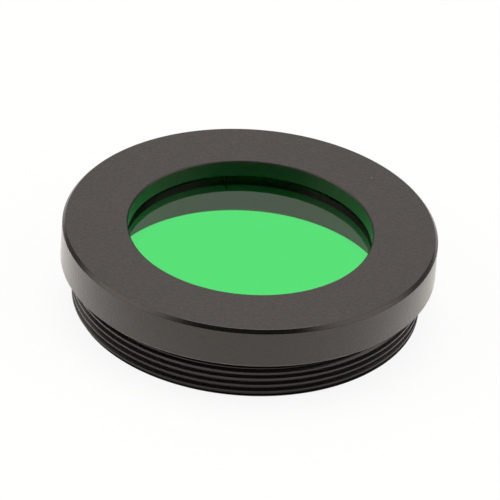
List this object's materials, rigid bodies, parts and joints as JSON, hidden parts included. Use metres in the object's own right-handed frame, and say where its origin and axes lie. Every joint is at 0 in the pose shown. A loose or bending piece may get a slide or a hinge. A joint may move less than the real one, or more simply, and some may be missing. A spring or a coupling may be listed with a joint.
{
  "type": "telescope colour filter",
  "caption": "Screw-in green colour filter for a telescope eyepiece: a black threaded metal cell that holds a round disc of tinted glass.",
  "frame": {"origin": "on the optical axis, in the plane of the threaded end that it rests on", "axes": "+Z along the optical axis, from the threaded end towards the wide front face"},
  "size_m": [0.0305, 0.0304, 0.0071],
  "materials": {
    "black_anodised": "matt black anodised",
    "green_glass": "polished",
    "black_ring": "black anodised"
  },
  "bodies": {
    "root": {"filter_cell": "black_anodised", "filter_glass": "green_glass", "retaining_ring": "black_ring"}
  },
  "joints": []
}
